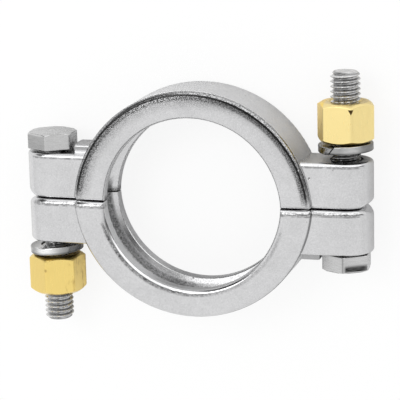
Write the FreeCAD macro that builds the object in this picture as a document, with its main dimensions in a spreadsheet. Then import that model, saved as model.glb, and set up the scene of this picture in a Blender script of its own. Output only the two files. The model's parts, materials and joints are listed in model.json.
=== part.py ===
import FreeCAD, Part
import math
import os
import re

import Sketcher

# Two-bolt pipe clamp for a pair of grooved pipe flanges, closed with nothing inside it.
# Frame: the ring axis is +Z, the bolts run along Y, the ears reach out along X, and the
# origin is the centre of the ring, half way between the two split faces.

# Sizes in millimetres and degrees: name, value, meaning.
SIZES = (
    ("outer_radius", 39.1, "outside of a half ring"),
    ("outer_shift", 2.6, "centre of the outside arc, beyond the split face"),
    ("ring_width", 20.0, "ring along its axis"),
    ("rim_round", 1.2, "rounding of the ring's outer edges"),
    ("split_round", 1.7, "rounding of the edges along the split face"),
    ("lip_radius", 29.0, "inside of the two lips"),
    ("seat_shift", 1.3, "centre of the lips and the groove, beyond the split face"),
    ("lip_round", 1.3, "rounding of the lips' outer edges"),
    ("groove_mouth", 11.0, "width of the groove between the lips"),
    ("groove_depth", 4.3, "groove floor below the lips"),
    ("flank_angle", 20.0, "slope of the groove's flanks"),
    ("mouth_round", 0.5, "rounding between a lip and its flank"),
    ("root_round", 0.8, "rounding between a flank and the groove floor"),
    ("split_gap", 0.2, "between the two split faces when closed"),
    ("bolt_centre", 48.4, "bolt axis from the ring axis"),
    ("ear_width", 16.8, "ear along the ring axis, and its round end"),
    ("ear_height", 14.6, "ear from the split face to its bearing face"),
    ("ear_round", 1.1, "rounding round the bearing face"),
    ("relief_run", 4.6, "relief at the ear's outer corner, along the split face"),
    ("relief_angle", 28.0, "slope of that relief"),
    ("relief_radius", 5.0, "blend from the split face into the relief"),
    ("hole_diameter", 10.5, "bolt hole through an ear"),
    ("ledge_width", 8.4, "ledge that keeps the bolt head from turning"),
    ("ledge_height", 2.7, "ledge above the bearing face"),
    ("ledge_play", 0.65, "between the ledge and a flat of the head set square to it"),
    ("ledge_round", 1.0, "rounding of the ledge's edges"),
    ("bolt_diameter", 9.4, "over the thread"),
    ("bolt_length", 57.6, "under the head"),
    ("tip_chamfer", 1.1, "at the end of the bolt"),
    ("head_flats", 14.29, "across the flats of the bolt head"),
    ("head_height", 5.2, "bolt head"),
    ("head_face", 15.0, "round end face of the bolt head"),
    ("nut_flats", 16.2, "across the flats of the nut"),
    ("nut_height", 12.7, "nut"),
    ("nut_face", 14.4, "round end faces of the nut"),
    ("nut_mouth", 0.65, "countersink at both ends of the nut's bore"),
    ("nut_play", 0.05, "between the nut's thread and the bolt's, on the radius"),
    ("corner_angle", 30.0, "chamfer of the hexagons' corners"),
    ("washer_diameter", 17.3, "outside of the lock washer"),
    ("washer_bore", 10.1, "inside of the lock washer"),
    ("washer_thickness", 2.4, "section of the lock washer along its axis"),
    ("washer_rise", 0.3, "one end of the lock washer above the other"),
    ("washer_slit", 12.0, "angle between the two ends of the lock washer"),
    ("washer_play", 0.08, "between the lock washer and the nut it lies against"),
    ("left_lean", 4.2, "left lock washer, its inner side up"),
    ("right_lean", 1.6, "right lock washer, its outer side up"),
    ("left_shift", 0.4, "left bolt off the middle of its hole, away from the ring"),
    ("right_shift", 0.3, "right bolt off the middle of its hole, towards the ring"),
    ("left_washer_drop", 3.15, "middle of the left lock washer below its ear"),
    ("left_head_gap", 0.8, "left bolt head off its ear"),
    ("right_head_gap", 0.45, "right bolt head off its ear"),
    ("left_standoff", 5.3, "left nut off its ear"),
    ("right_standoff", 5.7, "right nut off its ear"),
    ("left_head_turn", 28.1, "left bolt about its own axis"),
    ("right_head_turn", 32.9, "right bolt about its own axis"),
    ("left_nut_turn", 36.0, "left nut about its own axis"),
    ("right_nut_turn", 53.1, "right nut about its own axis"),
    ("left_washer_turn", 150.0, "left lock washer about its own axis"),
    ("right_washer_turn", -116.6, "right lock washer about its own axis"),
)

doc = FreeCAD.newDocument("pipe_clamp")
sheet = doc.addObject("Spreadsheet::Sheet", "sizes")
for row, (alias, value, meaning) in enumerate(SIZES, start=1):
    sheet.set(f"A{row}", meaning)
    sheet.set(f"B{row}", str(value))
    sheet.setAlias(f"B{row}", alias)
doc.recompute()


def size(alias):
    """The number in a cell of the sheet."""
    return float(sheet.get(alias))


def value_of(rule):
    """What a rule written with the sheet's names comes to."""
    answer = sheet.evalExpression(rule)
    return float(getattr(answer, "Value", answer))


def bound(rule):
    """A rule with each of the sheet's names pointed at the sheet."""
    names = "|".join(alias for alias, _, _ in SIZES)
    return re.sub(rf"\b({names})\b", r"sizes.\1", rule)


# From the ring axis to the end of the ledge, where a corner of the bolt head strikes it.
LEDGE_END = "bolt_centre - head_flats / 2 - ledge_play"

# The two axes and the origin that every sketch has, as the constraints name them.
ACROSS, UPWARD = -1, -2
START, END, CENTRE = 1, 2, 3
ORIGIN = (ACROSS, START)


class Outline:
    """A sketch on one of a body's own planes, with its dimensions bound to the sheet."""

    def __init__(self, body, name, plane):
        self.sketch = body.newObject("Sketcher::SketchObject", name)
        support = [item for item in body.Origin.OriginFeatures if item.Role == plane]
        self.sketch.AttachmentSupport = [(support[0], "")]
        self.sketch.MapMode = "FlatFace"

    def line(self, start, end):
        piece = Part.LineSegment(FreeCAD.Vector(*start, 0), FreeCAD.Vector(*end, 0))
        return self.sketch.addGeometry(piece, False)

    def circle(self, centre, radius, construction=False):
        piece = Part.Circle(FreeCAD.Vector(*centre, 0), FreeCAD.Vector(0, 0, 1), radius)
        return self.sketch.addGeometry(piece, construction)

    def arc(self, centre, radius, first, last):
        round_piece = Part.Circle(FreeCAD.Vector(*centre, 0), FreeCAD.Vector(0, 0, 1), radius)
        piece = Part.ArcOfCircle(round_piece, math.radians(first), math.radians(last))
        return self.sketch.addGeometry(piece, False)

    def tie(self, kind, *where):
        self.sketch.addConstraint(Sketcher.Constraint(kind, *where))

    def measure(self, name, kind, *where, rule):
        """Add a dimension that follows a rule written with the sheet's names."""
        value = value_of(rule)
        if kind == "Angle":
            value = math.radians(value)
        number = self.sketch.addConstraint(Sketcher.Constraint(kind, *where, value))
        self.sketch.renameConstraint(number, name)
        self.sketch.setExpression(f".Constraints.{name}", bound(rule))

    def loop(self, points):
        """Straight edges through the points and back, joined end to end."""
        edges = [self.line(a, b) for a, b in zip(points, points[1:] + points[:1])]
        for edge, following in zip(edges, edges[1:] + edges[:1]):
            self.tie("Coincident", edge, END, following, START)
        return edges


def new_body(name):
    body = doc.addObject("PartDesign::Body", name)
    body.Label = name
    return body


def pad(body, name, outline, rule, both_ways=False, reverse=False):
    """Solid pushed out from an outline, half to each side or all to one side."""
    feature = body.newObject("PartDesign::Pad", name)
    feature.Profile = outline.sketch
    feature.SideType = "Symmetric" if both_ways else "One side"
    feature.Reversed = reverse
    feature.setExpression("Length", bound(rule))
    doc.recompute()
    return feature


def cut_through(body, name, outline):
    """Everything behind and before an outline taken away."""
    feature = body.newObject("PartDesign::Pocket", name)
    feature.Profile = outline.sketch
    feature.SideType = "Symmetric"
    feature.Type = "ThroughAll"
    doc.recompute()
    return feature


def cut_round(body, name, outline):
    """An outline turned about its upward axis and taken away."""
    feature = body.newObject("PartDesign::Groove", name)
    feature.Profile = outline.sketch
    feature.ReferenceAxis = (outline.sketch, ["V_Axis"])
    feature.Angle = 360
    doc.recompute()
    return feature


def ease_edges(body, name, kind, rule, chosen):
    """Fillet or chamfer the edges of the body's tip that a test picks out."""
    tip = body.Tip
    edges = [f"Edge{n}" for n, edge in enumerate(tip.Shape.Edges, start=1) if chosen(edge)]
    feature = body.newObject("PartDesign::" + kind, name)
    feature.Base = (tip, edges)
    feature.setExpression("Radius" if kind == "Fillet" else "Size", bound(rule))
    doc.recompute()
    return feature


def at(coordinate, target):
    return abs(coordinate - target) < 1e-4


def spans(edge):
    """Lowest and highest corner of an edge."""
    box = edge.BoundBox
    return (box.XMin, box.YMin, box.ZMin), (box.XMax, box.YMax, box.ZMax)


def half_ring_blank(name):
    """Half a ring as a plain slab with rounded rims, before its inside is turned out."""
    body = new_body(name)
    radius, shift = size("outer_radius"), size("outer_shift")
    reach = math.sqrt(radius ** 2 - shift ** 2)
    tilt = math.degrees(math.asin(shift / radius))
    front = Outline(body, name + "_front", "XY_Plane")
    rim = front.arc((0, -shift), radius, tilt, 180 - tilt)
    split = front.line((-reach, 0), (reach, 0))
    front.tie("Coincident", rim, END, split, START)
    front.tie("Coincident", split, END, rim, START)
    front.tie("PointOnObject", split, START, ACROSS)
    front.tie("PointOnObject", split, END, ACROSS)
    front.tie("PointOnObject", rim, CENTRE, UPWARD)
    front.measure("rim_radius", "Radius", rim, rule="outer_radius")
    front.measure("rim_shift", "DistanceY", rim, CENTRE, *ORIGIN, rule="outer_shift")
    pad(body, name + "_slab", front, "ring_width", both_ways=True)
    face = size("ring_width") / 2

    def on_rim(edge):
        low, high = spans(edge)
        return at(low[2], high[2]) and at(abs(low[2]), face) and high[1] > radius / 2

    def on_split(edge):
        low, high = spans(edge)
        return at(low[2], high[2]) and at(abs(low[2]), face) and at(high[1], 0)

    ease_edges(body, name + "_split", "Fillet", "split_round", on_split)
    ease_edges(body, name + "_rim", "Fillet", "rim_round", on_rim)
    return body


def ear_blank(name):
    """Both ears as one bar with round ends, relieved towards the split at its outer corners."""
    body = new_body(name)
    centre, radius = size("bolt_centre"), size("ear_width") / 2
    plan = Outline(body, name + "_plan", "XZ_Plane")
    right = plan.arc((centre, 0), radius, -90, 90)
    back = plan.line((centre, radius), (-centre, radius))
    left = plan.arc((-centre, 0), radius, 90, 270)
    front = plan.line((-centre, -radius), (centre, -radius))
    for first, second in ((right, back), (back, left), (left, front), (front, right)):
        plan.tie("Tangent", first, END, second, START)
    plan.tie("PointOnObject", right, CENTRE, ACROSS)
    plan.tie("PointOnObject", left, CENTRE, ACROSS)
    plan.tie("Equal", right, left)
    plan.measure("end_radius", "Radius", right, rule="ear_width / 2")
    plan.measure("right_bolt", "DistanceX", *ORIGIN, right, CENTRE, rule="bolt_centre")
    plan.measure("left_bolt", "DistanceX", left, CENTRE, *ORIGIN, rule="bolt_centre")
    pad(body, name + "_bar", plan, "ear_height", reverse=True)

    corners = Outline(body, name + "_corners", "XY_Plane")
    slope, blend = size("relief_angle"), size("relief_radius")
    start = centre + radius - size("relief_run")
    climb_x = blend * math.sin(math.radians(slope))
    climb_y = blend * (1 - math.cos(math.radians(slope)))
    far_x = centre + radius + size("relief_run")
    far_y = climb_y + (far_x - start - climb_x) * math.tan(math.radians(slope))
    for side, word in ((1, "right"), (-1, "left")):
        arc_span = (-90, slope - 90) if side > 0 else (270 - slope, 270)
        blend_arc = corners.arc((side * start, blend), blend, *arc_span)
        inner, outer = (START, END) if side > 0 else (END, START)
        ramp = corners.line((side * (start + climb_x), climb_y), (side * far_x, far_y))
        wall = corners.line((side * far_x, far_y), (side * far_x, 0))
        floor = corners.line((side * far_x, 0), (side * start, 0))
        corners.tie("Tangent", blend_arc, outer, ramp, START)
        corners.tie("Coincident", ramp, END, wall, START)
        corners.tie("Coincident", wall, END, floor, START)
        corners.tie("Tangent", floor, END, blend_arc, inner)
        corners.tie("Vertical", wall)
        corners.tie("PointOnObject", floor, START, ACROSS)
        corners.tie("PointOnObject", floor, END, ACROSS)
        corners.measure(word + "_blend", "Radius", blend_arc, rule="relief_radius")
        ends = (ORIGIN, (floor, END)) if side > 0 else ((floor, END), ORIGIN)
        corners.measure(word + "_start", "DistanceX", *ends[0], *ends[1],
                        rule="bolt_centre + ear_width / 2 - relief_run")
        ends = (ORIGIN, (floor, START)) if side > 0 else ((floor, START), ORIGIN)
        corners.measure(word + "_reach", "DistanceX", *ends[0], *ends[1],
                        rule="bolt_centre + ear_width / 2 + relief_run")
        corners.measure(word + "_rise", "DistanceY", wall, END, wall, START,
                        rule="relief_radius * (1 - cos(relief_angle)) + (2 * relief_run"
                             " - relief_radius * sin(relief_angle)) * tan(relief_angle)")
    cut_through(body, name + "_relief", corners)
    top = size("ear_height")

    def on_bearing_face(edge):
        low, high = spans(edge)
        return at(low[1], top) and at(high[1], top)

    def round_the_split(edge):
        low, high = spans(edge)
        crosswise = at(low[0], high[0]) and at(low[1], high[1])
        return high[1] < top / 2 and not crosswise

    ease_edges(body, name + "_split", "Fillet", "split_round", round_the_split)
    ease_edges(body, name + "_bearing", "Fillet", "ear_round", on_bearing_face)
    return body


def ledge_blank(name):
    """The ledge beside the bolt head, run down through the ear and into the ring."""
    body = new_body(name)
    inner, half = size("lip_radius"), size("ledge_width") / 2
    outer = value_of(LEDGE_END)
    plan = Outline(body, name + "_plan", "XZ_Plane")
    front, tip, back, root = plan.loop([(-inner, -half), (-outer, -half),
                                        (-outer, half), (-inner, half)])
    for edge in (front, back):
        plan.tie("Horizontal", edge)
    for edge in (tip, root):
        plan.tie("Vertical", edge)
    plan.measure("inner_end", "DistanceX", root, END, *ORIGIN, rule="lip_radius")
    plan.measure("outer_end", "DistanceX", tip, START, *ORIGIN, rule=LEDGE_END)
    plan.measure("front_half", "DistanceY", tip, START, *ORIGIN, rule="ledge_width / 2")
    plan.measure("back_half", "DistanceY", *ORIGIN, tip, END, rule="ledge_width / 2")
    pad(body, name + "_block", plan, "ear_height + ledge_height", reverse=True)
    top = value_of("ear_height + ledge_height")

    def exposed(edge):
        low, high = spans(edge)
        return at(low[0], -outer) and at(high[1], top)

    ease_edges(body, name + "_edges", "Fillet", "ledge_round", exposed)
    return body


def clamp_half(name):
    """One casting: ring, ears and ledge, with the groove turned and the bolt holes bored."""
    body = half_ring_blank(name)
    join = body.newObject("PartDesign::Boolean", name + "_joined")
    join.setObjects([ear_blank(name + "_ears"), ledge_blank(name + "_ledge")])
    join.Type = "Fuse"
    body.Tip = join
    doc.recompute()

    holes = Outline(body, name + "_holes", "XZ_Plane")
    for side, word in ((1, "right"), (-1, "left")):
        ring = holes.circle((side * size("bolt_centre"), 0), size("hole_diameter") / 2)
        holes.tie("PointOnObject", ring, CENTRE, ACROSS)
        holes.measure(word + "_hole", "Radius", ring, rule="hole_diameter / 2")
        ends = (*ORIGIN, ring, CENTRE) if side > 0 else (ring, CENTRE, *ORIGIN)
        holes.measure(word + "_place", "DistanceX", *ends, rule="bolt_centre")
    cut_through(body, name + "_bored", holes)
    cut_round(body, name + "_turned", seat_outline(body, name + "_seat"))
    return body


def seat_outline(body, name):
    """Half of the opening's section: two lips and, between them, the flat-bottomed V groove."""
    seat = Outline(body, name, "YZ_Plane")
    seat.sketch.setExpression("AttachmentOffset.Base.x", bound("-seat_shift"))
    lip, floor = size("lip_radius"), value_of("lip_radius + groove_depth")
    half, edge = size("ring_width") / 2, size("lip_round")
    slope = size("flank_angle")
    turn = math.radians(90 - slope)
    mouth, root = size("mouth_round"), size("root_round")
    rise = mouth * math.tan(turn / 2)
    fall = root * math.tan(turn / 2)
    flank = (math.cos(math.radians(slope)), math.sin(math.radians(slope)))
    mouth_z = size("groove_mouth") / 2
    floor_z = mouth_z - size("groove_depth") * flank[1] / flank[0]

    axis = seat.line((0, half), (0, -half))
    near_face = seat.line((0, -half), (lip + edge, -half))
    near_edge = seat.arc((lip + edge, edge - half), edge, 180, 270)
    near_lip = seat.line((lip, edge - half), (lip, -mouth_z - rise))
    near_mouth = seat.arc((lip + mouth, -mouth_z - rise), mouth, 90 + slope, 180)
    near_flank = seat.line((lip + rise * flank[0], -mouth_z + rise * flank[1]),
                           (floor - fall * flank[0], -floor_z - fall * flank[1]))
    near_root = seat.arc((floor - root, -floor_z + fall), root, slope - 90, 0)
    bottom = seat.line((floor, -floor_z + fall), (floor, floor_z - fall))
    far_root = seat.arc((floor - root, floor_z - fall), root, 0, 90 - slope)
    far_flank = seat.line((floor - fall * flank[0], floor_z + fall * flank[1]),
                          (lip + rise * flank[0], mouth_z - rise * flank[1]))
    far_mouth = seat.arc((lip + mouth, mouth_z + rise), mouth, 180, 270 - slope)
    far_lip = seat.line((lip, mouth_z + rise), (lip, half - edge))
    far_edge = seat.arc((lip + edge, half - edge), edge, 90, 180)
    far_face = seat.line((lip + edge, half), (0, half))

    for first, second in ((far_face, axis), (axis, near_face)):
        seat.tie("Coincident", first, END, second, START)
    meetings = ((near_face, END, near_edge, END), (near_edge, START, near_lip, START),
                (near_lip, END, near_mouth, END), (near_mouth, START, near_flank, START),
                (near_flank, END, near_root, START), (near_root, END, bottom, START),
                (bottom, END, far_root, START), (far_root, END, far_flank, START),
                (far_flank, END, far_mouth, END), (far_mouth, START, far_lip, START),
                (far_lip, END, far_edge, END), (far_edge, START, far_face, START))
    for meeting in meetings:
        seat.tie("Tangent", *meeting)
    seat.tie("PointOnObject", axis, START, UPWARD)
    seat.tie("PointOnObject", axis, END, UPWARD)
    for face in (near_face, far_face):
        seat.tie("Horizontal", face)
    for wall in (near_lip, bottom, far_lip):
        seat.tie("Vertical", wall)
    rounds = (("near_edge", near_edge, "lip_round"), ("far_edge", far_edge, "lip_round"),
              ("near_mouth", near_mouth, "mouth_round"), ("far_mouth", far_mouth, "mouth_round"),
              ("near_root", near_root, "root_round"), ("far_root", far_root, "root_round"))
    for word, piece, rule in rounds:
        seat.measure(word, "Radius", piece, rule=rule)
    for word, wall, rule in (("near_lip", near_lip, "lip_radius"), ("far_lip", far_lip, "lip_radius"),
                             ("bottom", bottom, "lip_radius + groove_depth")):
        seat.measure(word, "DistanceX", *ORIGIN, wall, START, rule=rule)
    seat.measure("near_flank", "Angle", near_flank, rule="flank_angle")
    seat.measure("far_flank", "Angle", far_flank, rule="180 - flank_angle")
    seat.measure("near_face", "DistanceY", near_face, END, *ORIGIN, rule="ring_width / 2")
    seat.measure("far_face", "DistanceY", *ORIGIN, far_face, START, rule="ring_width / 2")
    edge_of_mouth = "groove_mouth / 2 + mouth_round * tan(45 - flank_angle / 2)"
    seat.measure("near_width", "DistanceY", near_lip, END, *ORIGIN, rule=edge_of_mouth)
    seat.measure("far_width", "DistanceY", *ORIGIN, far_lip, START, rule=edge_of_mouth)
    return seat


def hexagon(body, name, flats):
    """Six equal edges on a circle, with a corner on the local X axis."""
    plan = Outline(body, name, "XY_Plane")
    corner = value_of(f"{flats} / sqrt(3)")
    turns = [math.radians(60 * n) for n in range(6)]
    edges = plan.loop([(corner * math.cos(turn), corner * math.sin(turn)) for turn in turns])
    ring = plan.circle((0, 0), corner, construction=True)
    plan.tie("Coincident", ring, CENTRE, *ORIGIN)
    for edge in edges:
        plan.tie("PointOnObject", edge, START, ring)
    for edge in edges[1:]:
        plan.tie("Equal", edges[0], edge)
    plan.tie("PointOnObject", edges[0], START, ACROSS)
    plan.measure("corners", "Radius", ring, rule=f"{flats} / sqrt(3)")
    return plan


def disc(body, name, rule):
    plan = Outline(body, name, "XY_Plane")
    ring = plan.circle((0, 0), value_of(rule))
    plan.tie("Coincident", ring, CENTRE, *ORIGIN)
    plan.measure("edge", "Radius", ring, rule=rule)
    return plan


def corner_cut(body, name, flats, face, level, side):
    """A cone's section that takes the corners off a hexagon down to a round end face."""
    slope = math.tan(math.radians(size("corner_angle")))
    inner, outer, end = value_of(f"{face} / 2"), size(flats), value_of(level)
    drop = side * (outer - inner) * slope
    section = Outline(body, name, "XZ_Plane")
    edges = section.loop([(inner, end), (outer, end), (outer, end - drop)])
    section.tie("Horizontal", edges[0])
    section.tie("Vertical", edges[1])
    section.measure("inner", "DistanceX", *ORIGIN, edges[0], START, rule=f"{face} / 2")
    section.measure("outer", "DistanceX", *ORIGIN, edges[0], END, rule=flats)
    ends = (edges[1], END, edges[1], START) if side > 0 else (edges[1], START, edges[1], END)
    section.measure("drop", "DistanceY", *ends, rule=f"({flats} - {face} / 2) * tan(corner_angle)")
    if end:
        ends = (*ORIGIN, edges[0], START) if side > 0 else (edges[0], START, *ORIGIN)
        section.measure("level", "DistanceY", *ends, rule=level if side > 0 else f"-({level})")
    else:
        section.tie("PointOnObject", edges[0], START, ACROSS)
    return section


def bolt(name):
    """Hexagon head below the local XY plane and a plain shank as thick as the thread above it."""
    body = new_body(name)
    pad(body, name + "_head", hexagon(body, name + "_hexagon", "head_flats"), "head_height",
        reverse=True)
    cut_round(body, name + "_corners",
              corner_cut(body, name + "_cone", "head_flats", "head_face", "-head_height", -1))
    pad(body, name + "_shank", disc(body, name + "_section", "bolt_diameter / 2"), "bolt_length")
    end = size("bolt_length")
    ease_edges(body, name + "_tip", "Chamfer", "tip_chamfer",
               lambda edge: at(spans(edge)[0][2], end) and at(spans(edge)[1][2], end))
    return body


def nut(name):
    """Tall hexagon nut standing on the local XY plane, chamfered at both ends and bored."""
    body = new_body(name)
    pad(body, name + "_block", hexagon(body, name + "_hexagon", "nut_flats"), "nut_height")
    for word, level, side in (("_top", "nut_height", 1), ("_foot", "0", -1)):
        cone = corner_cut(body, name + word + "_cone", "nut_flats", "nut_face", level, side)
        cut_round(body, name + word, cone)
    bore = "bolt_diameter / 2 + nut_play"
    cut_through(body, name + "_bore", disc(body, name + "_hole", bore))
    radius, top = value_of(bore), size("nut_height")

    def mouth(edge):
        low, high = spans(edge)
        return at(high[0], radius) and at(low[2], high[2]) and (at(low[2], 0) or at(low[2], top))

    ease_edges(body, name + "_mouths", "Chamfer", "nut_mouth", mouth)
    return body


def lock_washer(name):
    """Nearly one turn of square-edged strip about the local Z axis, one end above the other."""
    body = new_body(name)
    section = Outline(body, name + "_section", "XZ_Plane")
    inner, outer = value_of("washer_bore / 2"), value_of("washer_diameter / 2")
    foot = value_of("-(washer_thickness + washer_rise) / 2")
    top = foot + size("washer_thickness")
    low, outside, high, inside = section.loop([(inner, foot), (outer, foot),
                                               (outer, top), (inner, top)])
    for edge in (low, high):
        section.tie("Horizontal", edge)
    for edge in (outside, inside):
        section.tie("Vertical", edge)
    section.measure("inner", "DistanceX", *ORIGIN, low, START, rule="washer_bore / 2")
    section.measure("outer", "DistanceX", *ORIGIN, low, END, rule="washer_diameter / 2")
    section.measure("foot", "DistanceY", low, START, *ORIGIN,
                    rule="(washer_thickness + washer_rise) / 2")
    section.measure("thickness", "DistanceY", outside, START, outside, END,
                    rule="washer_thickness")
    coil = body.newObject("PartDesign::AdditiveHelix", name + "_coil")
    coil.Profile = section.sketch
    coil.ReferenceAxis = (section.sketch, ["V_Axis"])
    coil.Mode = "height-turns-angle"
    coil.setExpression("Height", bound("washer_rise"))
    coil.setExpression("Turns", bound("1 - washer_slit / 360"))
    coil.LeftHanded = True
    doc.recompute()
    return body


X_AXIS, Z_AXIS = FreeCAD.Vector(1, 0, 0), FreeCAD.Vector(0, 0, 1)
HALF_TURN = FreeCAD.Rotation(Z_AXIS, 180)
# Turns a piece's own axis from +Z to +Y, the way the right bolt points.
ALONG_BOLT = FreeCAD.Rotation(X_AXIS, -90)


def place(body, side, along, turn, lean=FreeCAD.Rotation()):
    """Set a piece on the right bolt, side 1, or on the left one, which is turned half round.

    The rule called along is the distance of its origin from the split, towards the nut.
    """
    facing = lean * (ALONG_BOLT if side > 0 else HALF_TURN * ALONG_BOLT)
    body.Placement = FreeCAD.Placement(FreeCAD.Vector(0, 0, 0),
                                       facing * FreeCAD.Rotation(Z_AXIS, size(turn)))
    across = "bolt_centre - right_shift" if side > 0 else "-(bolt_centre + left_shift)"
    body.setExpression("Placement.Base.x", bound(across))
    body.setExpression("Placement.Base.y", bound(along if side > 0 else f"-({along})"))


upper = clamp_half("clamp_half_upper")
upper.setExpression("Placement.Base.y", bound("split_gap / 2"))
lower = clamp_half("clamp_half_lower")
lower.Placement = FreeCAD.Placement(FreeCAD.Vector(0, 0, 0), HALF_TURN)
lower.setExpression("Placement.Base.y", bound("-split_gap / 2"))

BEARING_FACE = "split_gap / 2 + ear_height"
RIGHT, LEFT = 1, -1
bolt_right, bolt_left = bolt("bolt_right"), bolt("bolt_left")
place(bolt_right, RIGHT, f"-({BEARING_FACE} + right_head_gap)", "right_head_turn")
place(bolt_left, LEFT, f"-({BEARING_FACE} + left_head_gap)", "left_head_turn")
nut_right, nut_left = nut("nut_right"), nut("nut_left")
place(nut_right, RIGHT, f"{BEARING_FACE} + right_standoff", "right_nut_turn")
place(nut_left, LEFT, f"{BEARING_FACE} + left_standoff", "left_nut_turn")

# The right lock washer lies against its nut, and the left one leans between ear and nut.
washer_right, washer_left = lock_washer("lock_washer_right"), lock_washer("lock_washer_left")
place(washer_right, RIGHT,
      f"{BEARING_FACE} + right_standoff - washer_play - washer_diameter / 2 * sin(right_lean)"
      " - (washer_thickness + washer_rise) / 2 * cos(right_lean)",
      "right_washer_turn", lean=FreeCAD.Rotation(Z_AXIS, size("right_lean")))
place(washer_left, LEFT, f"{BEARING_FACE} + left_washer_drop", "left_washer_turn",
      lean=FreeCAD.Rotation(Z_AXIS, size("left_lean")))
doc.recompute()

PIECES = (upper, lower, bolt_right, bolt_left, nut_right, nut_left, washer_right, washer_left)
for item in doc.Objects:
    if "Invalid" in item.State or "Error" in item.State:
        raise RuntimeError(f"{item.Label} did not build: {item.State}")
for piece in PIECES:
    if piece.Shape.isNull() or not piece.Shape.isValid() or len(piece.Shape.Solids) != 1:
        raise RuntimeError(f"{piece.Label} is not one valid solid")

os.makedirs("parts", exist_ok=True)
for piece in PIECES:
    piece.Shape.exportStep(f"parts/{piece.Label}.step")
    print(f"{piece.Label}: {piece.Shape.Volume:.0f} cubic mm")
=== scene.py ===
# %% [markdown]
# # A bolted pipe clamp
# Two half rings with a V groove inside squeeze the flanges of two tube ends together. Their
# ears are pulled up by two bolts with tall brass nuts and split lock washers. The solids
# bring every shape and place. This script gives the bolts their threads, rebuilds the small
# fasteners as smooth surfaces, and gives each metal its own finish.

# %% The solids and the box they fill
import json
import math

import bmesh
import bpy
import numpy as np
from mathutils import Matrix, Vector

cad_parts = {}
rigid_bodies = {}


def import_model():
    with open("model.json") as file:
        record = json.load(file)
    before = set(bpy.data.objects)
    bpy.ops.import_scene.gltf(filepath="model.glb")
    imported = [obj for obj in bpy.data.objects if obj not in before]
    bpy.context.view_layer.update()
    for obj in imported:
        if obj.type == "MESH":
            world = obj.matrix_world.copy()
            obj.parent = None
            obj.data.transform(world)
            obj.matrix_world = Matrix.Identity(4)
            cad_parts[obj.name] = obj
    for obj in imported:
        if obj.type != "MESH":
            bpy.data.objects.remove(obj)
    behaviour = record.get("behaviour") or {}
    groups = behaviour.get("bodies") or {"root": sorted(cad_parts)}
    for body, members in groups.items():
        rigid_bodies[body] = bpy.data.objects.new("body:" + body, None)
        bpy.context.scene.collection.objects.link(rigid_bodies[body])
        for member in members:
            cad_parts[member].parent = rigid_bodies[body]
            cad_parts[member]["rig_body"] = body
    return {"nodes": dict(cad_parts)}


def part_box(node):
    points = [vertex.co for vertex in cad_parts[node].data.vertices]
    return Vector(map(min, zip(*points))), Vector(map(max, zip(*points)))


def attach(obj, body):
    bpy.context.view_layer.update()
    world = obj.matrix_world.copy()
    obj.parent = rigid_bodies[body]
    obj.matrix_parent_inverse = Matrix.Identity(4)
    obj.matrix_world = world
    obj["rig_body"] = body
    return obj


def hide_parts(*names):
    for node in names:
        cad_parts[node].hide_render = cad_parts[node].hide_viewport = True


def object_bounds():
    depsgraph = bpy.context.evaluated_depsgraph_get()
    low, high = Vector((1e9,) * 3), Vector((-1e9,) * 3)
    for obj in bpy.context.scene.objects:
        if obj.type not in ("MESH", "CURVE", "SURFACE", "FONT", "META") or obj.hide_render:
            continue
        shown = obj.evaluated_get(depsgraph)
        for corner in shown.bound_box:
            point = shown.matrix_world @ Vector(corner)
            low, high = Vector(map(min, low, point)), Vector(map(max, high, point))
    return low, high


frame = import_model()
nodes = frame["nodes"]
cad_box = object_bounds()
MM = 0.001
MICRON = 1e-6
print("solids:", ", ".join(sorted(nodes)))

# %% [markdown]
# ## The camera
# A long lens from far away keeps parallel edges almost parallel, as in a catalogue picture.
# A camera could be turned by hand until the picture fits. Here four numbers set it, which
# anyone can change: how far round it stands, how far up, how much it rolls, and how far it is
# from the point it aims at. Its three axes are worked out from them.

# %% Camera
AROUND, ABOVE, ROLL = (math.radians(angle) for angle in (16.2, 13.23, -1.42))
DISTANCE = 0.618
AIM = Vector((0.48, -0.41, 0.0)) * MM
LENS, FILM_WIDTH, FARTHEST = 173.9, 36.0, 20.0

back = Vector((math.sin(AROUND) * math.cos(ABOVE), math.sin(ABOVE),
               math.cos(AROUND) * math.cos(ABOVE)))
level = Vector((math.cos(AROUND), 0.0, -math.sin(AROUND)))
upright = back.cross(level)
right = level * math.cos(ROLL) + upright * math.sin(ROLL)
up = upright * math.cos(ROLL) - level * math.sin(ROLL)

camera = bpy.data.objects.new("camera", bpy.data.cameras.new("camera"))
bpy.context.scene.collection.objects.link(camera)
camera.matrix_world = Matrix.Translation(AIM + back * DISTANCE) @ Matrix(
    (right, up, back)).transposed().to_4x4()
camera.data.sensor_width = FILM_WIDTH
camera.data.lens = LENS
camera.data.clip_end = FARTHEST
bpy.context.scene.camera = camera
print("camera stands at", [round(value, 3) for value in camera.location])

# %% [markdown]
# ## Shader sums as plain Python
# Materials are full of small sums, and each could be a Math node wired by hand. Wrapping a
# socket in a class with the usual operators lets a sum be written on one line, and every
# operator adds its Math node.

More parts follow.
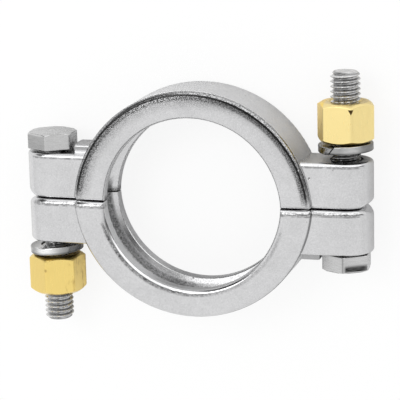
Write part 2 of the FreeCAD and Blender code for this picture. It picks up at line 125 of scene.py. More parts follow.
# %% Sockets that can be calculated with
class Signal:
    """A socket of a node tree that behaves like a number."""

    def __init__(self, tree, socket):
        self.tree, self.socket = tree, socket

    def node(self, kind, settings=None, inputs=None, output=0):
        """Add a node: settings first, then the values or links of its sockets."""
        return add_node(self.tree, kind, settings, inputs, output)

    def math(self, operation, *values, clamp=False):
        settings = {"operation": operation, "use_clamp": clamp}
        return self.node("ShaderNodeMath", settings, dict(enumerate(values)))

    def __add__(self, other):
        return self.math("ADD", self, other)

    def __sub__(self, other):
        return self.math("SUBTRACT", self, other)

    def __rsub__(self, other):
        return self.math("SUBTRACT", other, self)

    def __mul__(self, other):
        return self.math("MULTIPLY", self, other)

    __radd__, __rmul__ = __add__, __mul__

    def step(self, low, high):
        """0 below low, 1 above high, and a soft ramp between them."""
        settings = {"interpolation_type": "SMOOTHSTEP"}
        return self.node("ShaderNodeMapRange", settings, {0: self, 1: low, 2: high})


def add_node(tree, kind, settings=None, inputs=None, output=0):
    node = tree.nodes.new(kind)
    for name, value in (settings or {}).items():
        setattr(node, name, value)
    for key, value in (inputs or {}).items():
        if isinstance(value, Signal):
            tree.links.new(value.socket, node.inputs[key])
        else:
            node.inputs[key].default_value = value
    return Signal(tree, node.outputs[output])


# %% [markdown]
# ## Places on the metal
# Every finish starts from the position on the object, so that it stays put when the camera
# or a piece moves. A mark is a mask: a number between 0 and 1 that says how much of the mark
# a place has. Most masks fade in and out between two distances, which are written in
# millimetres here. Many of the marks are painted shade, painted dark reflections or painted
# highlights, toned into the colour.

# %% Positions and masks
def new_material(name):
    """A material, its tree, its main shader and the three coordinates of a surface point."""
    material = bpy.data.materials.new(name)
    material.use_nodes = True
    tree = material.node_tree
    shader = tree.nodes["Principled BSDF"]
    place = add_node(tree, "ShaderNodeTexCoord", output=3)
    split = tree.nodes.new("ShaderNodeSeparateXYZ")
    tree.links.new(place.socket, split.inputs[0])
    x, y, z = (Signal(tree, socket) for socket in split.outputs)
    return material, tree, shader, place, (x, y, z)


def beyond(value, none, full):
    """0 below the distance none and 1 above the distance full, in mm."""
    return value.step(none * MM, full * MM)


def before(value, full, none):
    """1 below the distance full and 0 above the distance none, in mm."""
    return 1.0 - beyond(value, full, none)


def between(value, low, inner_low, inner_high, high):
    """1 from inner_low to inner_high, fading to 0 at low and high, in mm."""
    return beyond(value, low, inner_low) * before(value, inner_high, high)


def size_of(value):
    return value.math("ABSOLUTE", value)


def reach(first, second):
    """Distance from an axis: the root of the sum of the two squares across it."""
    return first.math("SQRT", first * first + second * second)


# %% [markdown]
# ## Grain and bare metal
# Grain is a noise whose spots are measured in millimetres, so it has the same size on every
# piece. An image of scratched metal would need its own unfolding for every piece, and noise
# in the object's own coordinates needs none. Bare metal shows only what it mirrors, tinted by
# its own colour, so tone, roughness and relief are what make it look cast or rolled.

# %% Grain, colours and metal
BLACK, WHITE = (0.0, 0.0, 0.0, 1.0), (1.0, 1.0, 1.0, 1.0)
NOISE_SPOT = 0.7


def mix_colour(fac, first, second):
    """Colour that goes from the first to the second as fac goes from 0 to 1."""
    return fac.node("ShaderNodeMix", {"data_type": "RGBA"}, {0: fac, 6: first, 7: second}, 2)


def grain(place, size, detail=2.0, stretch=(1.0, 1.0, 1.0)):
    """Noise from 0 to 1 with spots about as wide as size, in mm: the scale is 0.7 over it."""
    spread = place.node("ShaderNodeVectorMath", {"operation": "MULTIPLY"},
                        {0: place, 1: stretch})
    return place.node("ShaderNodeTexNoise", {}, {
        "Vector": spread, "Scale": NOISE_SPOT / (size * MM), "Detail": detail})


def with_marks(tone, marks):
    """A tone darkened by each mark's share, or made lighter where the share is below 0."""
    for mark, share in marks:
        tone = tone * (1.0 - mark * share)
    return tone


def bare_metal(tree, shader, colour, roughness, height):
    """Join a colour, a roughness and a height in metres to a surface of bare metal."""
    bump = height.node("ShaderNodeBump", {}, {"Height": height, "Distance": 1.0,
                                              "Strength": 1.0})
    for name, signal in (("Base Color", colour), ("Roughness", roughness), ("Normal", bump)):
        tree.links.new(signal.socket, shader.inputs[name])
    shader.inputs["Metallic"].default_value = 1.0


# %% [markdown]
# ## The castings
# The half rings are cast in stainless steel, tumbled and polished. Tumbling has rolled the
# flat faces over towards their outer edges. The solids' faces are flat there, and the roll
# is only about half a millimetre deep at the rim, so it is a bump: it falls with the square
# of the distance past a circle, and it bends the reflections. Each half ring's outer arc is
# centred a little beyond its split face, and so are its lips, so distances start there.

# %% Where a place lies on a casting
ARC_SHIFT, LIP_SHIFT = 2.5 * MM, 1.2 * MM
FLAT_UNTIL, RIM = 33.5, (39.1, 39.3)
EDGE_DROP = -18.0  # metres of height for a square metre of distance
BOLT_AXIS = 48.45 * MM

casting, tree, shader, place, (x, y, z) = new_material("tumbled_casting")
side_x, side_y, side_z = size_of(x), size_of(y), size_of(z)
from_centre = reach(x, side_y + ARC_SHIFT)
from_lips = reach(x, side_y + LIP_SHIFT)
from_bolt = reach(side_x - BOLT_AXIS, z)
on_faces = beyond(side_z, 8.9, 9.2)
on_front = beyond(z, 6.0, 7.0)
off_faces = before(side_z, 8.4, 9.0)
off_ring = beyond(from_centre, *RIM)
upper = beyond(y, -0.5, 5.0)
inside = before(from_lips, 33.4, 34.0)

past = x.math("MAXIMUM", from_centre - FLAT_UNTIL * MM, 0.0) * (1.0 - off_ring)
rolled = past * past * EDGE_DROP * on_faces
deepest = EDGE_DROP * ((RIM[0] - FLAT_UNTIL) * MM) ** 2
print(f"the faces roll over by {-deepest / MM:.2f} mm at the rim")

# %% [markdown]
# ## The skin of the castings
# A tumbled skin has grain of several sizes at once, from a fifth of a millimetre to a soft
# change of tone over a centimetre. One noise alone looks like sandpaper. The few pits lie at
# the points of a Voronoi pattern, and are kept only where a wider noise is high.

# %% Skin of the castings
fine = grain(place, 0.22, 3.0)
grit = grain(place, 0.42)
blotch = grain(place, 1.1, 3.0)
coarse = grain(place, 1.6)
broad = grain(place, 9.0)
speckle = 1.0 - fine.step(0.40, 0.60)
mottle = 1.0 - (grit * 0.6 + blotch * 0.4).step(0.43, 0.57)

PIT_CELLS = 330.0
cells = place.node("ShaderNodeTexVoronoi", {}, {"Vector": place, "Scale": PIT_CELLS})
chance = grain(place, 3.1, 0.0)
pits = (1.0 - cells.step(0.06, 0.15)) * chance.step(0.68, 0.74)

skin = 0.63 + (broad - 0.5) * 0.12 + (coarse - 0.5) * 0.09
skin = skin + (fine - 0.5) * 0.22 + (grit - 0.5) * 0.14
print(f"skin of the castings: {len(tree.nodes)} nodes so far")

# %% [markdown]
# ## Dark lines along the edges
# Where a polished edge turns away, it mirrors something dark and shows a line, and tumbling
# leaves the skin beside it speckled. Left to the reflections alone, these lines come and go
# with the light. So they are painted into the colour where they lie, as painted dark
# reflections: a speckled band and two lines along the upper rim, one line along the lower rim,
# and one along the lower lip. A faint painted shade lies on the wall outside the upper rim.

# %% Painted dark reflections and shade along the rims and lips
# Painted dark reflections along the rims and the lower lip, and painted shade on the outer wall.
narrowing = beyond(x, 2.0, 26.0) * (2.6 * MM) * before(from_centre, 36.0, 37.6)
shaded_rim_band = beyond(from_centre - narrowing, 32.6, 37.8) * on_faces * upper
band_edge_shade = between(from_centre, 35.8, 36.7, 37.6, 37.9) * on_faces * upper
rim_dark_reflection = between(from_centre, 37.4, 37.7, 38.1, 38.3) * on_faces * upper
outer_wall_shade = between(from_centre, 38.8, 39.0, 39.2, 39.4) * off_faces * upper
low_dark_reflection = between(from_centre, 38.75, 38.95, 39.2, 39.3) * beyond(z, 8.1, 8.5)
low_dark_reflection = low_dark_reflection * (1.0 - upper)
lip_dark_reflection = between(from_lips, 29.8, 30.2, 30.5, 31.4) * on_faces * before(y, -9.0, -5.0)
lip_dark_reflection = lip_dark_reflection * (1.0 - beyond(x, -8.0, 14.0) * 0.6)

rim_painted_shade = [
    (shaded_rim_band, 0.22 + speckle * 0.55), (band_edge_shade, 0.28 + speckle * 0.50), (rim_dark_reflection, 0.90),
    (outer_wall_shade, 0.10), (low_dark_reflection, 0.60),
    (lip_dark_reflection, 0.22 + speckle * 0.40 + mottle * 0.36),
]
print(f"{len(rim_painted_shade)} marks along the rims and lips")

# %% [markdown]
# ## Inside the ring and beside the split
# The groove is cast and hardly polished, so it is rougher at the lower left, and there it is
# also painted darker and speckled, as painted shade. The bore is painted darker at the bottom,
# as painted shade. The split faces see only each other and are painted dark, as their shade,
# and so is the corner where the split opens into the bore. Just under the split, a mottled
# strip of painted shade dims the highlight on the rounded edges, and there and near the ears'
# tops broken lines of painted dark reflection run along them.

# %% Painted shade inside the ring and beside the split
# Painted shade in the groove, the low bore, the inner corner and the split faces, and painted
# dark reflections beside the split and the ears' tops.
groove = beyond(from_lips, 30.2, 31.4) * before(from_lips, 33.4, 33.8)
groove = groove * before(side_z, 5.0, 5.6)
dull_shaded_groove = groove * before(x, -12.0, 14.0) * before(y, 2.0, 6.0)
low_bore_shade = inside * off_faces * before(y, -22.0, -16.0) * beyond(x, -18.0, -8.0)
inner_corner_shade = between(y, -0.3, 0.1, 0.5, 2.2) * inside * before(z, 7.6, 8.6)
inner_corner_shade = inner_corner_shade * (0.7 + speckle * 0.3)
split_face_shade = before(side_y, 0.12, 0.35)
split_edge_shade = between(y, -2.2, -1.6, -1.1, -0.6) * on_front
under_split_dark_reflection = between(y, -2.5, -2.2, -1.9, -1.7) * on_front
under_top_dark_reflection = between(y, 12.9, 13.3, 13.6, 13.8) * on_front * off_ring
broken_dark_reflections = (under_split_dark_reflection + under_top_dark_reflection) * blotch.step(0.30, 0.62)

inner_painted_shade = [
    (dull_shaded_groove, 0.34 + speckle * 0.24 + mottle * 0.20), (low_bore_shade, 0.34 + speckle * 0.22),
    (inner_corner_shade, 0.85), (split_face_shade, 0.90), (split_edge_shade, 0.10 + mottle * 0.42),
    (broken_dark_reflections, 0.50),
]
print(f"{len(inner_painted_shade)} marks inside the ring and beside the split")

# %% [markdown]
# ## The ears
# The ledges beside the bolt heads and the rounded ends of the ears turn away from the front,
# and are painted darker than the front faces, as painted shade. Round each bolt hole a painted
# shadow stands for the head or the washer shading the ear. All marks together darken the skin,
# and the result goes to the shader.

# %% Painted shade on the ears, and the finished casting
# Painted shade on the ledges and the ear ends, and a painted shadow round each bolt hole.
ledge_shade = beyond(side_y, 14.75, 14.95) * off_ring
ear_end_shade = beyond(side_x, 54.6, 56.6)
hole_shadow = before(from_bolt, 5.6, 9.2) * beyond(side_y, 14.2, 14.6)
ear_painted_shade = [(ledge_shade, 0.40), (ear_end_shade, 0.22), (hole_shadow, 0.78)]

STEEL_WHITE = (1.0, 1.0, 1.01, 1.0)
# All the painted shade and dark reflections, and the pits.
marks = rim_painted_shade + inner_painted_shade + ear_painted_shade + [(pits, 0.60)]
tone = with_marks(skin, marks)
colour = mix_colour(tone.math("MINIMUM", tone, 1.0), BLACK, STEEL_WHITE)
roughness = 0.17 + coarse * 0.08 + dull_shaded_groove * 0.25 + shaded_rim_band * speckle * 0.12
grain_depth = 3 * MICRON + shaded_rim_band * (3 * MICRON) + dull_shaded_groove * (8 * MICRON)
height = rolled + (fine - 0.5) * grain_depth + pits * (-60 * MICRON)
bare_metal(tree, shader, colour, roughness, height)
print(f"castings: {len(marks)} marks on {len(tree.nodes)} nodes")

# %% [markdown]
# ## Bolt steel and spring steel
# The bolts are plain and a little dull, and the lock washers are bright rolled strip. Both
# have fine lines across the bolt, from a noise squeezed along it. Two materials could be
# built one after the other. Here one function builds both, and is told the tone, the
# roughness, the strength of the lines, and a function that gives the marks, which are mostly
# painted shade, painted dark reflections and painted highlights.

# %% Plain steel
def plain_steel(name, light, gloss, lines, marks):
    """Steel with a tone, a roughness, lines of a strength, and the painted shade and marks of a
    function.
    """
    material, tree, shader, place, (x, y, z) = new_material(name)
    cloud = grain(place, 4.0)
    scratches = grain(place, 0.5, stretch=(0.25, 2.0, 0.25))
    tone = light + (cloud - 0.5) * 0.16 + (scratches - 0.5) * lines
    tone = with_marks(tone, marks(x, y, z, scratches))
    height = (scratches - 0.5) * (3 * MICRON) + (cloud - 0.5) * (20 * MICRON)
    bare_metal(tree, shader, mix_colour(tone, BLACK, WHITE), gloss + scratches * 0.12, height)
    print(f"{name}: {len(tree.nodes)} nodes")
    return material


# %% [markdown]
# ## Marks, painted shade and highlights on the bolts
# On so small a scale the thread mirrors its own flanks, so its roots are painted darker as
# painted shade and its crests lighter as painted highlights. The shank under the right washer
# has a painted shadow. Each head has a flat or a corner line painted darker as painted shade,
# and the right head a painted dark reflection low on one flat. Each bolt could have a material
# of its own. One is enough, because the sign of x and y tells the bolts apart: along a thread
# x times y is above 0, on a head below 0.

# %% Bolt steel
HEAD_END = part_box("bolt_left")[1].y / MM
THREAD_SIDE = 100 * MM * MM


def bolt_marks_and_painted_light(x, y, z, scratches):
    """Painted shade, highlights and marks on both bolts, each with the share by which it darkens
    the steel.
    """
    from_axis = reach(size_of(x) - BOLT_AXIS, z)
    on_right = beyond(x, 0.0, 10.0)
    on_thread = (x * y).step(0.0, THREAD_SIDE)
    # Painted shade in the thread roots and painted highlights on the crests; below, a painted
    # shadow of the washer, painted shade on a flat and a corner line, and a painted dark
    # reflection on the right head.
    root_shade = between(from_axis, 3.55, 3.70, 3.85, 4.25) * on_thread
    crest_highlight = between(from_axis, 4.35, 4.60, 4.80, 4.90) * on_thread
    washer_shadow = between(y, 11.0, 12.0, 16.0, 17.6) * before(from_axis, 4.8, 4.9) * on_right
    head_top = beyond(y, HEAD_END - 0.10, HEAD_END - 0.04) * (1.0 - on_right)
    left_flat_shade = before(x, -48.8, -48.5) * beyond(z, 1.5, 3.0)
    left_flat_shade = left_flat_shade * between(y, 14.7, 15.0, 19.9, 20.2)
    dark_reflection_patch = beyond(x, 48.7, 49.6) * beyond(z, 2.5, 4.5)
    dark_reflection_patch = dark_reflection_patch * between(y, -20.1, -19.7, -18.8, -17.4)
    corner_shade_line = between(x, 48.1, 48.4, 48.6, 48.9) * beyond(z, 6.5, 7.5)
    corner_shade_line = corner_shade_line * before(y, -15.2, -15.0)
    return [(root_shade, 0.50), (crest_highlight, -0.25), (washer_shadow, 0.45), (head_top, 0.13),
            (left_flat_shade, 0.28), (dark_reflection_patch, 0.55 + scratches * 0.7), (corner_shade_line, 0.40)]


bolt_steel = plain_steel("bolt_steel", light=0.56, gloss=0.22, lines=0.22, marks=bolt_marks_and_painted_light)

# %% [markdown]
# ## Painted shade and highlights on the lock washers
# The round outside of a washer mirrors the room from side to side, so it is painted darker
# towards its sides as painted shade, with one painted highlight. Its lower rim has painted
# shade too, which follows the washer's lean. A straight mask would cut across it, so the
# mask's edge slopes by the same angle.

# %% Spring steel
LEAN = {"lock_washer_left": 4.2, "lock_washer_right": 1.6}
STRIP_HALF = 9.2 * MM


def shaded_low_rim(x, y, node):
    """Painted shade mask: 1 along a lock washer's lower rim, below a line leaning as the washer
    does.
    """
    low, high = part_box(node)
    slope = math.tan(math.radians(LEAN[node]))
    above = y - (x - (low.x + high.x) / 2) * slope - (low.y + high.y) / 2
    return before(above, -1.0, -0.2)


def washer_painted_shade_and_highlights(x, y, z, scratches):
    """Painted shade and highlights on both washers, each with its share, below 0 for highlights.
    """
    off_axis = size_of(x) - BOLT_AXIS
    strip = between(reach(off_axis, z), 4.95, 5.05, 8.80, 8.90)
    on_right = beyond(x, 0.0, 10.0)
    # Painted shade towards the sides and along the lower rims, and painted highlights.
    aside = off_axis * (1.0 / STRIP_HALF)
    highlight_left = between(x, -56.5, -50.5, -49.5, -43.0)
    highlight_right = between(x, 47.5, 51.0, 52.5, 55.5)
    low_left_shade = shaded_low_rim(x, y, "lock_washer_left") * (1.0 - on_right)
    low_right_shade = shaded_low_rim(x, y, "lock_washer_right") * on_right
    low_edge_shade = before(y, 17.7, 18.3) * on_right
    return [(strip * aside * aside, 0.65), (strip * low_edge_shade, 0.45),
            (strip * (highlight_left * 1.7 + highlight_right * 0.6), -0.95),
            (strip * (low_left_shade + low_right_shade * 0.8), 0.55)]


spring_steel = plain_steel("spring_steel", light=0.35, gloss=0.12, lines=0.20,
                           marks=washer_painted_shade_and_highlights)

# %% [markdown]
# ## Brass
# The nuts are turned from bar, so their flats keep lines along it, a noise squeezed across
# the bolt. Handling has left brown stains on one flat of the left nut. A nick shaped like a
# wedge breaks the right nut's front corner, and a small spot marks the left nut's. Both are
# too small for the solids, so they are toned in, and a bump sinks the nick; its hollow is
# painted dark, as painted shade. The left side of the left nut and the nuts' ends are toned
# a little darker.

# %% Marks on the brass
NICK_X, NICK_Z, NICK_LOW = 51.55 * MM, 8.6 * MM, 30.0 * MM
NICK_END = (31.6, 31.75)
NICK_TURN, NICK_SPREAD = math.radians(23.1), 0.55
SPOT = Vector((-49.8, -24.1, 9.3)) * MM
SPOT_EDGE = (0.225, 0.75)

brass, tree, shader, place, (x, y, z) = new_material("turned_brass")
bar_lines = grain(place, 0.4, 3.0, stretch=(2.0, 0.18, 2.0))
cloud = grain(place, 5.0)
stain = grain(place, 1.1, 3.0, stretch=(1.0, 0.4, 1.0)).step(0.48, 0.72)
stain = stain * beyond(x, -44.6, -43.6) * before(x, -20.0, 0.0)
across = (x - NICK_X) * math.cos(NICK_TURN) - (z - NICK_Z) * math.sin(NICK_TURN)
wedge = (y - NICK_LOW) * NICK_SPREAD - size_of(across)
nick = beyond(wedge, 0.0, 0.2) * before(y, *NICK_END) * beyond(z, 0.0, 4.0)
away = place.node("ShaderNodeVectorMath", {"operation": "DISTANCE"}, {0: place, 1: SPOT}, 1)
spot = before(away, *SPOT_EDGE)
ends = beyond(y, 32.95, 33.05) + between(y, -20.3, -20.1, -19.0, -18.0)
left_face = before(x, -50.0, -49.7)
# Real stains and the spot, painted shade in the nick, and a darker left side and ends.
wear_and_shade = stain * 0.42 + nick * 0.95 + spot * 0.50 + ends * 0.16 + left_face * 0.07
wear_and_shade = wear_and_shade + (cloud - 0.5) * 0.10 + (bar_lines - 0.5) * 0.14
print(f"marks on the brass: {len(tree.nodes)} nodes so far")

# %% [markdown]
# ## Brass colours
# Brass is yellow because the metal itself colours what it mirrors, so its colour goes to the
# shader and the room stays white. The two nuts differ a little, and the left flat of the
# right nut is painted a deeper yellow, as painted shade. The marks and painted shade lead
# from clean brass to brown tarnish.

# %% Brass finish
BRASS_LEFT, BRASS_RIGHT = (0.89, 0.68, 0.23, 1.0), (0.91, 0.74, 0.33, 1.0)
BRASS_SHADED_FLAT = (1.0, 0.72, 0.15, 1.0)
TARNISH_AND_SHADE, NICK_SHADE = (0.26, 0.13, 0.03, 1.0), (0.03, 0.02, 0.01, 1.0)

# Painted shade: the right nut's left flat gets a deeper yellow.
shaded_flat = between(x, 10.0, 20.0, 41.9, 42.6)
clean = mix_colour(beyond(x, -10.0, 10.0), BRASS_LEFT, BRASS_RIGHT)
clean = mix_colour(shaded_flat, clean, BRASS_SHADED_FLAT)
# Stains and painted shade darken towards brown, and the nick is painted dark as painted shade.
colour = mix_colour(wear_and_shade.math("MAXIMUM", wear_and_shade, 0.0, clamp=True), clean, TARNISH_AND_SHADE)
colour = mix_colour(nick * 0.85, colour, NICK_SHADE)
height = (bar_lines - 0.5) * (4 * MICRON) + (cloud - 0.5) * (30 * MICRON)
height = height + nick * (-200 * MICRON)
bare_metal(tree, shader, colour, 0.24 + bar_lines * 0.10, height)
print("finishes:", ", ".join(sorted(material.name for material in bpy.data.materials)))

# %% [markdown]
# ## Surfaces from numbers
# A surface is a grid of points: rows along one parameter, columns along the other. Each grid
# becomes a mesh whose faces join neighbours, and a direction that closes on itself joins its
# last column to its first. Points that coincide are merged, which closes the ends of a bolt,
# and the faces of the closed shell are turned outwards.

# %% Grid to mesh
def grid_faces(rows, columns, round_rows, round_columns):
    """Corner numbers of the four-sided faces between the points of a grid."""
    number = np.arange(rows * columns).reshape(rows, columns)
    if round_rows:
        number = np.vstack([number, number[:1]])
    if round_columns:
        number = np.hstack([number, number[:, :1]])
    return np.stack([number[:-1, :-1], number[:-1, 1:], number[1:, 1:], number[1:, :-1]],
                    -1).reshape(-1, 4)


def finished(name, points, faces, node, material, merged=0.1 * MICRON, sharp=32.0):
    """A piece that stands for a solid, from its points in metres and its faces.

    Points closer than merged become one, and edges of more than sharp degrees stay sharp.
    """
    mesh = bpy.data.meshes.new(name)
    mesh.from_pydata(points.tolist(), [], faces)
    shell = bmesh.new()
    shell.from_mesh(mesh)
    bmesh.ops.remove_doubles(shell, verts=shell.verts, dist=merged)
    bmesh.ops.recalc_face_normals(shell, faces=shell.faces)
    volume = shell.calc_volume(signed=True)
    shell.to_mesh(mesh)
    shell.free()
    mesh.validate()
    mesh.materials.append(material)
    mesh.shade_smooth()
    mesh.set_sharp_from_angle(angle=math.radians(sharp))
    piece = bpy.data.objects.new(name, mesh)
    bpy.context.scene.collection.objects.link(piece)
    even = piece.modifiers.new("even_normals", "WEIGHTED_NORMAL")
    even.keep_sharp = True
    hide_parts(node)
    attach(piece, nodes[node]["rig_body"])
    print(f"{name}: {len(mesh.polygons)} faces, {volume / MM ** 3:.0f} cubic mm")
    return piece


# %% [markdown]
# ## The half rings
# The solids of the castings have the right shape, but their faces are loose triangles, and a
# polished surface shows every one of them. A copy with its points merged can be shaded
# smoothly, and weighted normals keep the flat faces flat.

# %% Half rings, merged and smoothed
def smooth_copy(node):
    mesh = nodes[node].data
    points = np.empty(len(mesh.vertices) * 3)
    mesh.vertices.foreach_get("co", points)
    faces = [list(polygon.vertices) for polygon in mesh.polygons]
    return finished(node + "_skin", points.reshape(-1, 3), faces, node, casting,
                    merged=2 * MICRON, sharp=28.0)


for node in ("clamp_half_upper", "clamp_half_lower"):
    smooth_copy(node)

# %% [markdown]
# ## Hexagons with their corners taken off
# A hexagon's radius, as a function of the angle, is half the flats over the cosine of the
# angle to the nearest flat. That leaves knife-sharp corners. Adding high powers of the cosines
# to all three pairs of flats, and taking the root of the sum, rounds the corners slightly. A
# cone takes the corners off at the ends.

# %% Hexagon radius and the cone at its ends
CORNER_SLOPE = math.tan(math.radians(30.0))
STEPS_ROUND = 240
turn = np.linspace(0.0, 2 * math.pi, STEPS_ROUND, endpoint=False)
print(f"{STEPS_ROUND} steps round an axis, {360 / STEPS_ROUND} degrees each")


def hexagon_radius(flats, power):
    """Half the flats over the root of the sum of this power of the three cosines."""
    cosines = [np.abs(np.cos(turn - math.radians(30 + 60 * k))) ** power for k in range(3)]
    return flats / 2 * sum(cosines) ** (-1 / power)


def cone_drop(radius, face_radius):
    """How far the cone lies below the end face where the hexagon has this radius."""
    return np.maximum(radius - face_radius, 0.0) * CORNER_SLOPE


# %% [markdown]
# ## Pieces on a bolt
# Bolts and nuts are rings of points, each a radius and a height all the way round. They are
# worked out standing on the origin with their axis along z, and then laid along the clamp's
# bolts, which point up on the right and down on the left.

# %% From rings to places on a bolt
def carried_round(rings):
    """Points of a list of rings: radius times cosine and sine of the turn, and the height."""
    radius, height = (np.array([part + 0 * turn for part in parts]) for parts in zip(*rings))
    return np.stack([radius * np.cos(turn), radius * np.sin(turn), height], -1)


def along_bolt(points, origin, pointing, turned, lean=0.0):
    """Stand local points on a bolt: pointing is +1 up or -1 down along Y.

    turned is the angle from +Z towards +X, in degrees, of the piece's first corner.
    """
    x, y, z = points[..., 0], points[..., 1], points[..., 2]
    angle = np.arctan2(y, x) * pointing + math.radians(turned)
    across, forward = np.hypot(x, y) * np.sin(angle), np.hypot(x, y) * np.cos(angle)
    height = z * pointing
    tilt = math.radians(lean)
    placed = np.stack([across * math.cos(tilt) - height * math.sin(tilt),
                       across * math.sin(tilt) + height * math.cos(tilt), forward], -1)
    return placed + np.array(origin)


# %% [markdown]
# ## The bolts
# A bolt is one closed skin: the head's end face, its chamfered hexagon, the bearing face,
# the plain shank, the thread and the tip. A thread could be a profile swept along a helix
# and cut from the shank. It is simpler as a radius that depends only on the phase, which is
# the height divided by the pitch less the angle divided by a full turn.

# %% Thread profile
PITCH = 1.5875 * MM
THREAD_RADIUS = 4.7 * MM
THREAD_DEPTH = 0.61 * PITCH
THREAD_START = 17.0 * MM
TIP_CHAMFER = 1.1 * MM
CREST_SHARE, FLANK_SHARE = 0.12, 0.68
FADE_IN = 1.5 * PITCH
print(f"thread: {PITCH / MM:.4f} mm pitch, {THREAD_DEPTH / MM:.2f} mm deep")


def thread_radius(height, length):
    """Crest and root flats joined by flanks of about 30 degrees, faded in where it starts."""
    phase = np.mod(height / PITCH - turn / (2 * math.pi), 1.0)
    from_crest = np.abs(phase - 0.5) * 2
    depth = np.clip((from_crest - CREST_SHARE) / FLANK_SHARE, 0.0, 1.0) * THREAD_DEPTH
    depth = depth * np.clip((height - THREAD_START) / FADE_IN, 0.0, 1.0)
    cone = THREAD_RADIUS - TIP_CHAMFER + np.maximum(length - height, 0.0)
    return np.minimum(THREAD_RADIUS - depth, cone)


# %% [markdown]
# ## From head to tip
# The rings of a bolt go from the middle of the head's end face to the middle of the tip. A
# bevel modifier could round the head's edges. Here two rings close together break each edge
# by about a tenth of a millimetre, so that it catches a thin line of light.

# %% Bolts
HEAD_FLATS, HEAD_TALL, HEAD_FACE = 14.29 * MM, 5.2 * MM, 7.5 * MM
HEAD_POWER, FILLET = 70.0, 0.1 * MM
SHANK_STEP, ROWS_PER_PITCH = 2.0 * MM, 15


def bolt(name, node, pointing, head_turned):
    low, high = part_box(node)
    length = high.y - low.y - HEAD_TALL
    hexagon = hexagon_radius(HEAD_FLATS, HEAD_POWER)
    drop = cone_drop(hexagon, HEAD_FACE)
    face = np.minimum(hexagon, HEAD_FACE)
    rings = [(0.0, -HEAD_TALL),
             (face - 0.05 * MM, -HEAD_TALL),
             (face + 0.03 * MM, -HEAD_TALL + drop * 0.05 + 0.03 * MM),
             (hexagon - 0.08 * MM, -HEAD_TALL + drop + 0.02 * MM),
             (hexagon, -HEAD_TALL + drop + 0.12 * MM),
             (hexagon, -0.12 * MM),
             (hexagon - 0.1 * MM, 0.0),
             (THREAD_RADIUS + FILLET, 0.0),
             (THREAD_RADIUS, FILLET)]
    heights = np.concatenate([np.arange(1.0 * MM, THREAD_START, SHANK_STEP),
                              np.arange(THREAD_START, length, PITCH / ROWS_PER_PITCH), [length]])
    rings += [(thread_radius(height, length), height) for height in heights]
    rings.append((0.0, length))
    under_head = low.y + HEAD_TALL if pointing > 0 else high.y - HEAD_TALL
    points = along_bolt(carried_round(rings), ((low.x + high.x) / 2, under_head, 0.0),
                        pointing, head_turned)
    faces = grid_faces(len(rings), STEPS_ROUND, False, True)
    return finished(name, points.reshape(-1, 3), faces.tolist(), node, bolt_steel)


bolt("threaded_bolt_right", "bolt_right", +1, 2.9)
bolt("threaded_bolt_left", "bolt_left", -1, 1.9)

# %% [markdown]
# ## The nuts
# A nut's section is a closed loop: up the bore, over the countersink, out across the end
# face, down the chamfer and the flat, and back. Carried round the axis it closes on itself
# both ways. The bore clears the crests of the bolt's thread, as the solids' bore does. It is
# left plain, because the bolt fills it while the clamp is closed.

# %% Nuts
NUT_FLATS, NUT_FACE, NUT_POWER = 16.2 * MM, 7.2 * MM, 55.0
BORE, MOUTH = THREAD_RADIUS + 0.05 * MM, 0.65 * MM


def nut(name, node, pointing, turned):
    low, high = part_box(node)
    tall = high.y - low.y
    hexagon = hexagon_radius(NUT_FLATS, NUT_POWER)
    drop = cone_drop(hexagon, NUT_FACE)
    half = [(BORE, MOUTH), (BORE + MOUTH, 0.0),
            (NUT_FACE - 0.15 * MM, 0.0), (NUT_FACE + 0.15 * MM, 0.06 * MM),
            (hexagon - 0.16 * MM, drop - 0.05 * MM), (hexagon - 0.03 * MM, drop + 0.06 * MM),
            (hexagon, drop + 0.22 * MM)]
    rings = half + [(radius, tall - height) for radius, height in reversed(half)]
    base = low.y if pointing > 0 else high.y
    points = along_bolt(carried_round(rings), ((low.x + high.x) / 2, base, 0.0),
                        pointing, turned)
    faces = grid_faces(len(rings), STEPS_ROUND, True, True)
    return finished(name, points.reshape(-1, 3), faces.tolist(), node, brass)


nut("brass_nut_right", "nut_right", +1, 23.1)
nut("brass_nut_left", "nut_left", -1, -6.0)

# %% [markdown]
# ## The split lock washers
# A lock washer is almost one turn of steel strip, wound so that its ends stand apart. The
# strip's section is a rectangle with rounded corners. A box with a bevel could be bent round,
# but four quarter circles, joined by straight lines, give the section directly.

# %% Section of the strip
STRIP_INSIDE, STRIP_OUTSIDE, STRIP_TALL = 5.05 * MM, 8.65 * MM, 2.4 * MM
STRIP_ROUND = 0.35 * MM
print(f"strip: {(STRIP_OUTSIDE - STRIP_INSIDE) / MM:.1f} by {STRIP_TALL / MM:.1f} mm")


def strip_section(steps=6):
    """A rectangle whose corners are quarter circles: radius out and height, in a loop."""
    quarter = np.linspace(0.0, math.pi / 2, steps)
    middle, wide = (STRIP_INSIDE + STRIP_OUTSIDE) / 2, (STRIP_OUTSIDE - STRIP_INSIDE) / 2
    out, tall = [], []
    for corner, (side, end) in enumerate(((1, 1), (-1, 1), (-1, -1), (1, -1))):
        angle = quarter + corner * math.pi / 2
        out.append(middle + side * (wide - STRIP_ROUND) + STRIP_ROUND * np.cos(angle))
        tall.append(end * (STRIP_TALL / 2 - STRIP_ROUND) + STRIP_ROUND * np.sin(angle))
    return np.concatenate(out), np.concatenate(tall)


# %% [markdown]
# ## The washers' coil
# The section is carried round the axis from one side of the slit to the other, and comes
# down a little on the way. A screw modifier could do that, but its ends would be square. Here
# the angle of a point grows with its height in the strip, and that slants both ends.

# %% Lock washers
COIL_RISE = 0.3 * MM
SLIT_ANGLE, SLANT = 5.0, 14.0


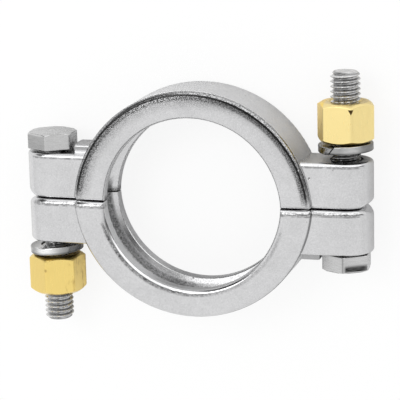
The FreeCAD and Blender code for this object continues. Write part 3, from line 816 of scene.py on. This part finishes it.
def lock_washer(name, node, pointing, slit_at, rows=140):
    """Section points carried down a left-handed coil, its ends slanted with the height."""
    out, tall = strip_section()
    along = np.linspace(0.0, 1.0, rows)[:, None]
    slant = math.radians(SLANT) * tall / STRIP_TALL
    angle = math.radians(SLIT_ANGLE / 2) + along * math.radians(360 - SLIT_ANGLE) + slant
    height = tall + COIL_RISE * (0.5 - along)
    local = np.stack([out * np.cos(angle), out * np.sin(angle),
                      np.broadcast_to(height, angle.shape)], -1)
    low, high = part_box(node)
    points = along_bolt(local, ((low.x + high.x) / 2, (low.y + high.y) / 2, 0.0),
                        pointing, slit_at, LEAN[node])
    columns = len(out)
    faces = grid_faces(rows, columns, False, True).tolist()
    faces.append(list(range(columns)))
    faces.append(list(reversed(range((rows - 1) * columns, rows * columns))))
    return finished(name, points.reshape(-1, 3), faces, node, spring_steel)


lock_washer("split_washer_right", "lock_washer_right", +1, -20.6)
lock_washer("split_washer_left", "lock_washer_left", -1, 114.0)

# %% [markdown]
# ## The floor
# The clamp lies on its rear face on white card. The camera sees the card almost white, and a
# part of its true shading is kept, so the clamp still has a soft shadow to lie in.

# %% Floor
FLOOR_HALF = 3.0
FLOOR_GAP = 0.02 * MM
CARD_COLOUR, CARD_ROUGHNESS = (0.86, 0.86, 0.86, 1.0), 0.9
WHITE_SHARE = 0.86

floor_level = cad_box[0][2] - FLOOR_GAP
corners = [(-FLOOR_HALF, -FLOOR_HALF, floor_level), (FLOOR_HALF, -FLOOR_HALF, floor_level),
           (FLOOR_HALF, FLOOR_HALF, floor_level), (-FLOOR_HALF, FLOOR_HALF, floor_level)]
floor_mesh = bpy.data.meshes.new("floor")
floor_mesh.from_pydata(corners, [], [(0, 1, 2, 3)])
floor = bpy.data.objects.new("floor", floor_mesh)
bpy.context.scene.collection.objects.link(floor)

card, tree, shader, _, _ = new_material("white_card")
shader.inputs["Base Color"].default_value = CARD_COLOUR
shader.inputs["Roughness"].default_value = CARD_ROUGHNESS
seen = add_node(tree, "ShaderNodeLightPath")
white = add_node(tree, "ShaderNodeEmission", {}, {"Color": WHITE, "Strength": 1.0})
paper = Signal(tree, shader.outputs[0])
both = add_node(tree, "ShaderNodeMixShader", {}, {0: seen * WHITE_SHARE, 1: paper, 2: white})
tree.links.new(both.socket, tree.nodes["Material Output"].inputs[0])
floor_mesh.materials.append(card)
print(f"floor at {floor_level / MM:.2f} mm")

# %% [markdown]
# ## The light
# Polished metal is a picture of the room, and an evenly white room would leave it flat. So
# the side of this room that lies beyond the upper half of the clamp has a bright patch with
# a dark belt round it, and rounded edges show a dark line beside a white one. Beyond the
# lower half, low over the card, the room is a little darker. Only reflections see all this:
# for everything else the room is evenly white.

# %% Room
PATCH_SIDE = Vector((0.35, 0.84, 0.41)).normalized()
PATCH_LIGHT, BELT_SHADE, LOW_SHADE = 0.7, 0.97, 0.28

world = bpy.data.worlds.new("room")
bpy.context.scene.world = world
world.use_nodes = True
tree = world.node_tree
direction = add_node(tree, "ShaderNodeTexCoord", output=0)
towards = add_node(tree, "ShaderNodeVectorMath", {"operation": "DOT_PRODUCT"},
                   {0: direction, 1: PATCH_SIDE}, 1)
glossy = add_node(tree, "ShaderNodeLightPath", output=3)
axes = tree.nodes.new("ShaderNodeSeparateXYZ")
tree.links.new(direction.socket, axes.inputs[0])
_, along_bolts, off_card = (Signal(tree, socket) for socket in axes.outputs)
patch = towards.step(0.65, 0.77)
belt = towards.step(0.13, 0.30) * (1.0 - patch) * along_bolts.step(-0.08, 0.10)
low_side = (1.0 - off_card.step(-0.9, 0.6)) * (1.0 - along_bolts.step(-0.1, 0.1))
room = 1.0 + patch * PATCH_LIGHT - belt * BELT_SHADE - low_side * LOW_SHADE
strength = 1.0 - glossy * (1.0 - room)
background = tree.nodes["Background"]
background.inputs["Color"].default_value = WHITE
tree.links.new(strength.socket, background.inputs["Strength"])
print(f"room: {len(tree.nodes)} nodes")

# %% [markdown]
# ## A soft lamp
# The white room alone gives only the faintest shadow. A small lamp would give a hard one. A
# disk half a metre wide, over the upper left of the clamp, adds a soft shadow and some sheen.

# %% Soft lamp
LAMP_PLACE = Vector((-0.35, 0.30, 0.75))
LAMP_SIZE, LAMP_POWER = 0.5, 2.0

lamp = bpy.data.lights.new("softbox", "AREA")
lamp.shape, lamp.size, lamp.energy = "DISK", LAMP_SIZE, LAMP_POWER
softbox = bpy.data.objects.new("softbox", lamp)
softbox.matrix_world = Matrix.Translation(LAMP_PLACE) @ LAMP_PLACE.to_track_quat(
    "Z", "Y").to_matrix().to_4x4()
bpy.context.scene.collection.objects.link(softbox)
print(f"lamp stands {LAMP_PLACE.length:.2f} m away")

bpy.context.scene.view_settings.view_transform = "Standard"
